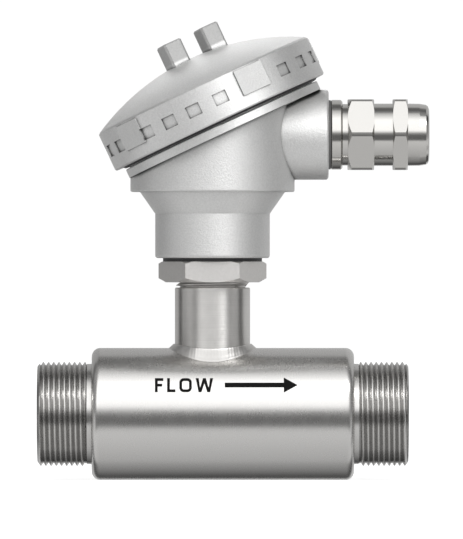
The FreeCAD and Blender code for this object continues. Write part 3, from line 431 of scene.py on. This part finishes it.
finish = {
    "stainless_bar": steel_x,
    "stainless_pipe": steel_z,
    "weld_metal": weld,
    "stainless_machined": plain_metal("stainless_machined", (0.60, 0.59, 0.58), 0.22, 0.003, 1.4),
    "carbide": plain_metal("tungsten_carbide", (0.30, 0.30, 0.31), 0.18, 0.002, 3.0),
    "white_plastic": moulded("white_plastic", (0.80, 0.79, 0.76), 0.40),
    "spring_steel": plain_metal("spring_steel", (0.42, 0.41, 0.40), 0.28, 0.003, 2.0),
    "magnetic_steel": plain_metal("magnetic_steel", (0.50, 0.49, 0.48), 0.30, 0.004, 1.8),
    "copper": plain_metal("copper_winding", (0.85, 0.38, 0.18), 0.30, 0.010, 3.0),
    "soft_iron": plain_metal("soft_iron", (0.42, 0.41, 0.40), 0.40, 0.004, 2.0),
    "magnet": plain_metal("magnet_steel", (0.36, 0.36, 0.37), 0.36, 0.004, 2.0),
    "epoxy": moulded("black_epoxy", (0.02, 0.02, 0.022), 0.25, 0.002, 1.0),
    "black_rubber": rubber,
    "plated_nut": nut_metal,
    "cast_aluminium": aluminium,
    "board_green": moulded("board_green", (0.02, 0.16, 0.06), 0.35, 0.003, 2.0),
    "terminal_plastic": moulded("terminal_green", (0.05, 0.30, 0.16), 0.42, 0.004, 3.0),
    "plated_brass": plain_metal("plated_brass", (0.70, 0.66, 0.58), 0.28, 0.003, 2.0),
    "plated_screw": plain_metal("zinc_screw", (0.62, 0.62, 0.60), 0.30, 0.004, 2.2),
    "brass_screw": plain_metal("brass_screw", (0.78, 0.58, 0.26), 0.28, 0.004, 2.2),
    "chip_black": moulded("chip_black", (0.02, 0.02, 0.022), 0.45, 0.004, 5.0),
    "capacitor_sleeve": moulded("capacitor_sleeve", (0.03, 0.05, 0.12), 0.3, 0.002, 2.0),
    "trimmer_blue": moulded("trimmer_blue", (0.04, 0.14, 0.42), 0.4, 0.003, 3.0),
    "lead_insulation": moulded("lead_insulation", (0.60, 0.05, 0.04), 0.42, 0.003, 3.0),
    "gland_washer": moulded("fibre_washer", (0.10, 0.10, 0.10), 0.6, 0.006, 3.0),
    "gland_metal": gland_x,
}
slot_of = {entry["node"]: entry["material_slot"] for entry in frame["record"]["subparts"]}
for name, obj in nodes.items():
    obj.data.materials.clear()
    obj.data.materials.append(cover_metal if name == "head_cover" else finish[slot_of[name]])


# ---------------------------------------------------------------- mesh helpers
def grid_mesh(name, rows, closed_rows=True, sharp=35.0):
    """rows: array [n, seg, 3] in mm. Rings are closed; the last row joins the first when closed_rows."""
    rows = np.asarray(rows, float)
    n, seg, _ = rows.shape
    verts = (rows.reshape(-1, 3) * MM).tolist()
    faces = []
    for i in range(n if closed_rows else n - 1):
        a, b = i * seg, ((i + 1) % n) * seg
        for j in range(seg):
            k = (j + 1) % seg
            faces.append((a + j, a + k, b + k, b + j))
    me = bpy.data.meshes.new(name)
    me.from_pydata(verts, [], faces)
    bm = bmesh.new()
    bm.from_mesh(me)
    bmesh.ops.remove_doubles(bm, verts=bm.verts, dist=2e-7)
    bmesh.ops.dissolve_degenerate(bm, edges=bm.edges, dist=1e-7)
    bmesh.ops.recalc_face_normals(bm, faces=bm.faces)
    bm.to_mesh(me)
    bm.free()
    for p in me.polygons:
        p.use_smooth = True
    me.set_sharp_from_angle(angle=math.radians(sharp))
    return me


def piece(name, me, mat, body, slot, *replaced):
    o = bpy.data.objects.new(name, me)
    scene.collection.objects.link(o)
    me.materials.clear()
    me.materials.append(mat)
    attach(o, body)
    if replaced:
        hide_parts(*replaced)
    return o


def thread_phases():
    """Points of one pitch, crest at 0, with rounded crest and root corners: (phase, depth share)."""
    t = np.array([0.0, 0.045, 0.070, 0.095, 0.125, 0.20, 0.28, 0.36, 0.43, 0.465, 0.5,
                  0.535, 0.57, 0.64, 0.72, 0.80, 0.875, 0.905, 0.930, 0.955])
    d = np.clip((np.minimum(t, 1 - t) - 0.070) / (0.475 - 0.070), 0, 1)
    d = d * d * (3 - 2 * d) * 0.22 + d * 0.78
    return t, d


def threaded(x0, x1, pitch, major, depth, crest_at, seg, envelope, hand=1.0):
    """Rows of a helical thread between x0 and x1 along the axis. envelope(x) caps the radius.
    crest_at is a crest's place at angle 90 degrees. Returns x and r as arrays [rows, seg]."""
    t, d = thread_phases()
    ang = 2 * math.pi * np.arange(seg) / seg
    turn = hand * (ang - math.pi / 2) / (2 * math.pi)
    first = math.floor((x0 - crest_at) / pitch) - 2
    last = math.ceil((x1 - crest_at) / pitch) + 2
    xs, rs = [], []
    for k in range(first, last + 1):
        for ti, di in zip(t, d):
            x = crest_at + pitch * (k + ti + turn)
            if x.max() < x0 or x.min() > x1:
                continue
            xc = np.clip(x, x0, x1)
            # where the row is held at a limit, its depth is that of the thread at the limit
            ph = np.mod((xc - crest_at) / pitch - turn, 1.0)
            dd = np.interp(ph, np.append(t, 1.0), np.append(d, 0.0))
            xs.append(xc)
            rs.append(np.minimum(major - depth * dd, envelope(xc)))
    return np.array(xs), np.array(rs)


def around_x(xs, rs, seg):
    ang = 2 * math.pi * np.arange(seg) / seg
    return np.stack([xs, rs * np.cos(ang), rs * np.sin(ang)], axis=-1)


def ring(x, r, seg):
    return around_x(np.full((1, seg), float(x)), np.full((1, seg), float(r)), seg)


# ---------------------------------------------------------------- meter body
SEG = 192
low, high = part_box("meter_body")
L = high[0] / MM                          # face to face
axis_x = 0.5 * (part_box("pickup_stub")[0][0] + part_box("pickup_stub")[1][0]) / MM
R = high[2] / MM                          # barrel radius
TH, COL, EDGE = 14.2, 1.5, 2.4            # thread length, relief length, barrel edge rounding
A, B = TH + COL, L - TH - COL


def body_mesh():
    rows = []

    def add(x, r):
        rows.append(ring(x, r, SEG))

    env_in = lambda x: np.where(x < 0.9, 13.75 + x * (15.0 - 13.75) / 0.9, 99.0)
    env_out = lambda x: np.where(x > L - 0.9, 13.75 + (L - x) * (15.0 - 13.75) / 0.9, 99.0)
    # inlet end: face, chamfer and thread
    add(0.0, 8.9)
    add(0.0, 9.3)
    add(0.0, 13.3)
    xs, rs = threaded(0.0, TH - 0.25, 1.5, 15.0, 0.92, 1.7, SEG, env_in)
    rows.append(around_x(xs, rs, SEG))
    add(TH, 14.12)
    add(TH + 0.12, 14.5)
    add(TH + 0.2, 14.5)
    add(A - 0.05, 14.5)
    add(A, 14.5)
    add(A, 14.55)
    add(A, R - EDGE - 0.05)
    n = 14
    for i in range(n + 1):
        a = math.pi / 2 * i / n
        add(A + EDGE - EDGE * math.cos(a), R - EDGE + EDGE * math.sin(a))
    add(A + EDGE + 0.06, R)
    for x in np.linspace(A + EDGE + 8, axis_x - 9.2, 3):
        add(x, R)
    for x in np.linspace(axis_x - 4.6, axis_x + 4.6, 3):
        add(x, R)
    for x in np.linspace(axis_x + 9.2, B - EDGE - 8, 4):
        add(x, R)
    add(B - EDGE - 0.06, R)
    for i in range(n + 1):
        a = math.pi / 2 * i / n
        add(B - EDGE + EDGE * math.sin(a), R - EDGE + EDGE * math.cos(a))
    add(B, R - EDGE - 0.05)
    add(B, 14.55)
    add(B, 14.5)
    add(B + 0.05, 14.5)
    add(L - TH - 0.2, 14.5)
    add(L - TH - 0.12, 14.5)
    add(L - TH, 14.12)
    xs, rs = threaded(L - TH + 0.25, L, 1.5, 15.0, 0.92, L - 1.7, SEG, env_out)
    rows.append(around_x(xs, rs, SEG))
    add(L, 13.3)
    add(L, 9.3)
    add(L, 8.9)
    # the bore, from the outlet back to the inlet
    for x, r in ((L - 0.4, 8.5), (L - 0.5, 8.5), (73.15, 8.5), (73.1, 8.5), (73.1, 8.95), (72.0, 8.95), (72.0, 8.5),
                 (71.9, 8.5), (60.1, 8.5), (60.0, 8.5), (60.0, 7.5), (59.9, 7.5), (50.5, 7.5), (41.1, 7.5), (41.0, 7.5),
                 (41.0, 8.5), (40.9, 8.5), (29.1, 8.5), (29.0, 8.5), (29.0, 8.95), (27.9, 8.95), (27.9, 8.5),
                 (27.8, 8.5), (0.5, 8.5), (0.4, 8.5)):
        add(x, r)
    return grid_mesh("meter_body_detail", np.concatenate(rows, axis=0))


def carve(me, cutter_verts, cutter_faces):
    """me with the solid given by the cutter taken out of it."""
    a = bpy.data.objects.new("carve_a", me)
    cm = bpy.data.meshes.new("carve_b")
    cm.from_pydata(cutter_verts, [], cutter_faces)
    b = bpy.data.objects.new("carve_b", cm)
    scene.collection.objects.link(a)
    scene.collection.objects.link(b)
    mod = a.modifiers.new("cut", "BOOLEAN")
    mod.operation, mod.object, mod.solver = "DIFFERENCE", b, "EXACT"
    bpy.context.view_layer.update()
    dg = bpy.context.evaluated_depsgraph_get()
    done = bpy.data.meshes.new_from_object(a.evaluated_get(dg))
    bpy.data.objects.remove(a)
    bpy.data.objects.remove(b)
    bm = bmesh.new()
    bm.from_mesh(done)
    bmesh.ops.remove_doubles(bm, verts=bm.verts, dist=2e-7)
    bmesh.ops.dissolve_degenerate(bm, dist=1e-6, edges=bm.edges)
    bm.to_mesh(done)
    bm.free()
    return done


def can(cx, cy, z0, z1, r, n):
    v = [((cx + r * math.cos(2 * math.pi * i / n)) * MM, (cy + r * math.sin(2 * math.pi * i / n)) * MM, z * MM)
         for z in (z0, z1) for i in range(n)]
    f = [tuple(range(n - 1, -1, -1)), tuple(range(n, 2 * n))]
    f += [(i, (i + 1) % n, n + (i + 1) % n, n + i) for i in range(n)]
    return v, f


body = body_mesh()
body = carve(body, *can(axis_x, 0.0, 9.3, 26.0, 8.0, 96))
for p in body.polygons:
    p.use_smooth = True
body.set_sharp_from_angle(angle=math.radians(35))
body_obj = piece("meter_body_detail", body, steel_x, "meter", "stainless_bar", "meter_body")


# ---------------------------------------------------------------- pickup stub
def stub_mesh(seg=160):
    ang = 2 * math.pi * np.arange(seg) / seg
    rows = []

    def add(z, r):
        z = np.broadcast_to(np.asarray(z, float), (seg,))
        rows.append(np.stack([axis_x + r * np.cos(ang), r * np.sin(ang), z], axis=-1)[None])

    def saddle(r, extra):
        return np.sqrt(R * R - (r * np.sin(ang)) ** 2) + extra

    add(saddle(8.0, 0.0), 8.0)
    add(saddle(10.85, 0.02), 10.85)
    add(saddle(10.85, 0.6), 10.85)
    for z in (24.0, 30.0, 36.05):
        add(z, 10.85)
    for a in (0, 30, 60, 90):
        add(36.1 + 0.4 * math.sin(math.radians(a)), 10.45 + 0.4 * math.cos(math.radians(a)))
    add(36.5, 9.6)
    env = lambda z: np.where(z > 54.0, 10.4775 - (z - 54.0) * 0.85, np.where(z < 36.95, 9.35, 99.0))
    zs, rs = threaded(36.62, 54.95, 1.814, 10.4775, 1.10, 37.55 + 0.5 * 1.814, seg, env)
    rows.append(np.stack([axis_x + rs * np.cos(ang), rs * np.sin(ang), zs], axis=-1))
    add(55.0, 9.2)
    add(55.0, 8.35)
    add(54.7, 8.0)
    add(30.0, 8.0)
    return grid_mesh("pickup_stub_detail", np.concatenate(rows, axis=0))


stub_obj = piece("pickup_stub_detail", stub_mesh(), steel_z, "meter", "stainless_pipe", "pickup_stub")


# ---------------------------------------------------------------- weld bead
def bead_mesh(seg=320):
    """The weld round the stub's foot: wide at the sides, steep and narrow at the front and back."""
    ang = 2 * math.pi * np.arange(seg) / seg
    s2 = np.sin(ang) ** 2
    ripple = 0.012 * np.sin(ang * 74) + 0.010 * np.sin(ang * 31 + 1.3) + 0.012 * np.sin(ang * 9 + 0.4)
    inner = 10.86
    reach = (12.60 - 1.05 * s2) - inner
    top = 1.25 + 2.05 * s2                 # height over the barrel next to the stub
    section = [(1.04, -0.06), (1.00, 0.01), (0.95, 0.05), (0.89, 0.12), (0.84, 0.20), (0.78, 0.28), (0.70, 0.36),
               (0.62, 0.45), (0.54, 0.55), (0.46, 0.66), (0.38, 0.76), (0.30, 0.86), (0.23, 0.93), (0.17, 0.97),
               (0.10, 0.985), (0.05, 0.95), (0.0, 0.90), (-0.12, 0.90)]
    rows = []
    for a, h in section:
        live = 1.0 if 0.1 < h < 0.98 else 0.3
        rr = inner + reach * a + ripple * live
        base = np.sqrt(R * R - (rr * np.sin(ang)) ** 2)
        rows.append(np.stack([axis_x + rr * np.cos(ang), rr * np.sin(ang), base + h * top + ripple * 0.5 * live], axis=-1)[None])
    r = inner - 0.15
    rows.append(np.stack([axis_x + r * np.cos(ang), r * np.sin(ang), np.sqrt(R * R - (r * np.sin(ang)) ** 2) - 0.3],
                         axis=-1)[None])
    return grid_mesh("weld_bead_detail", np.concatenate(rows, axis=0), sharp=50.0)


bead_obj = piece("weld_bead_detail", bead_mesh(), weld, "meter", "weld_metal", "weld_bead")


# ---------------------------------------------------------------- marking
def marking(name, outlines, strips):
    """Thin raised ink on the barrel's front. Outlines are in the X, z plane as seen from the front, in mm."""
    bm = bmesh.new()
    for pts in outlines:
        bm.faces.new([bm.verts.new((x, 0.0, z)) for x, z in pts])
    for outer, inner in strips:
        a = [bm.verts.new((x, 0.0, z)) for x, z in outer]
        b = [bm.verts.new((x, 0.0, z)) for x, z in inner]
        n = len(a)
        for i in range(n):
            j = (i + 1) % n
            bm.faces.new((a[i], a[j], b[j], b[i]))
    bm.normal_update()
    bmesh.ops.triangulate(bm, faces=[f for f in bm.faces if len(f.verts) > 4])
    for z in np.arange(4.0, 14.0, 0.35):
        bmesh.ops.bisect_plane(bm, geom=bm.verts[:] + bm.edges[:] + bm.faces[:], plane_co=(0, 0, z), plane_no=(0, 0, 1),
                               dist=1e-5)
    bmesh.ops.remove_doubles(bm, verts=bm.verts, dist=1e-5)
    base_verts = list(bm.verts)
    base_faces = [[v.index for v in f.verts] for f in bm.faces]
    bm.verts.index_update()
    base_faces = [[v.index for v in f.verts] for f in bm.faces]
    border = [(e.verts[0].index, e.verts[1].index) for e in bm.edges if len(e.link_faces) == 1]
    flat = [(v.co.x, v.co.z) for v in base_verts]
    bm.free()
    n = len(flat)
    verts = []
    for lift in (0.025, -0.05):
        for x, z in flat:
            phi = math.asin(z / R)
            rr = R + lift
            verts.append((x * MM, -rr * math.cos(phi) * MM, rr * math.sin(phi) * MM))
    faces = [tuple(f) for f in base_faces] + [tuple(n + i for i in reversed(f)) for f in base_faces]
    faces += [(a, b, n + b, n + a) for a, b in border]
    me = bpy.data.meshes.new(name)
    me.from_pydata(verts, [], faces)
    bm = bmesh.new()
    bm.from_mesh(me)
    bmesh.ops.recalc_face_normals(bm, faces=bm.faces)
    bm.to_mesh(me)
    bm.free()
    return piece(name, me, ink, "meter", None)


def rounded(cx, cz, w, h, r, n=10):
    pts = []
    for k, (sx, sz) in enumerate(((1, 1), (-1, 1), (-1, -1), (1, -1))):
        for i in range(n + 1):
            a = math.pi / 2 * (k + i / n)
            pts.append((cx + sx * (w / 2 - r) + r * math.cos(a), cz + sz * (h / 2 - r) + r * math.sin(a)))
    return pts


def px(v):
    return 50.5 + (v - 212.5) * 0.2887


# a plain stroke alphabet: every stroke 0.8 mm, capitals 4.0 mm high, letters 1.1 mm apart
ZT, ZB, ST, BAR = 10.5, 6.5, 0.8, 0.8
f0, f1 = 34.0, 36.4
l0, l1 = 37.5, 39.9
o0, o1 = 41.0, 44.6
w0, w1 = 45.7, 50.7
zm = 0.5 * (ZT + ZB)
letter_f = [(f0, ZB), (f0 + ST, ZB), (f0 + ST, zm - 0.40), (f1 - 0.30, zm - 0.40), (f1 - 0.30, zm + 0.40),
            (f0 + ST, zm + 0.40), (f0 + ST, ZT - BAR), (f1, ZT - BAR), (f1, ZT), (f0, ZT)]
letter_l = [(l0, ZB), (l1, ZB), (l1, ZB + BAR), (l0 + ST, ZB + BAR), (l0 + ST, ZT), (l0, ZT)]
ring_o = (rounded((o0 + o1) / 2, zm, o1 - o0, ZT - ZB, 1.30),
          rounded((o0 + o1) / 2, zm, o1 - o0 - 1.6, ZT - ZB - 1.6, 0.50))
wm = (w0 + w1) / 2
q = (w1 - w0) * 0.25
letter_w = [(w0, ZT), (w0 + 0.86, ZT), (wm - q + 0.02, ZB + 1.30), (wm - 0.40, ZT), (wm + 0.40, ZT),
            (wm + q - 0.02, ZB + 1.30), (w1 - 0.86, ZT), (w1, ZT), (wm + q + 0.42, ZB), (wm + q - 0.42, ZB),
            (wm, ZT - 1.45), (wm - q + 0.42, ZB), (wm - q - 0.42, ZB)]
arrow_z = 8.53
arrow = [(54.05, arrow_z - 0.68), (71.0, arrow_z - 0.68), (71.0, 6.37), (75.0, arrow_z), (71.0, 10.67),
         (71.0, arrow_z + 0.68), (54.05, arrow_z + 0.68)]
marking("flow_lettering", [letter_f, letter_l, letter_w], [ring_o])
marking("flow_arrow", [arrow], [])
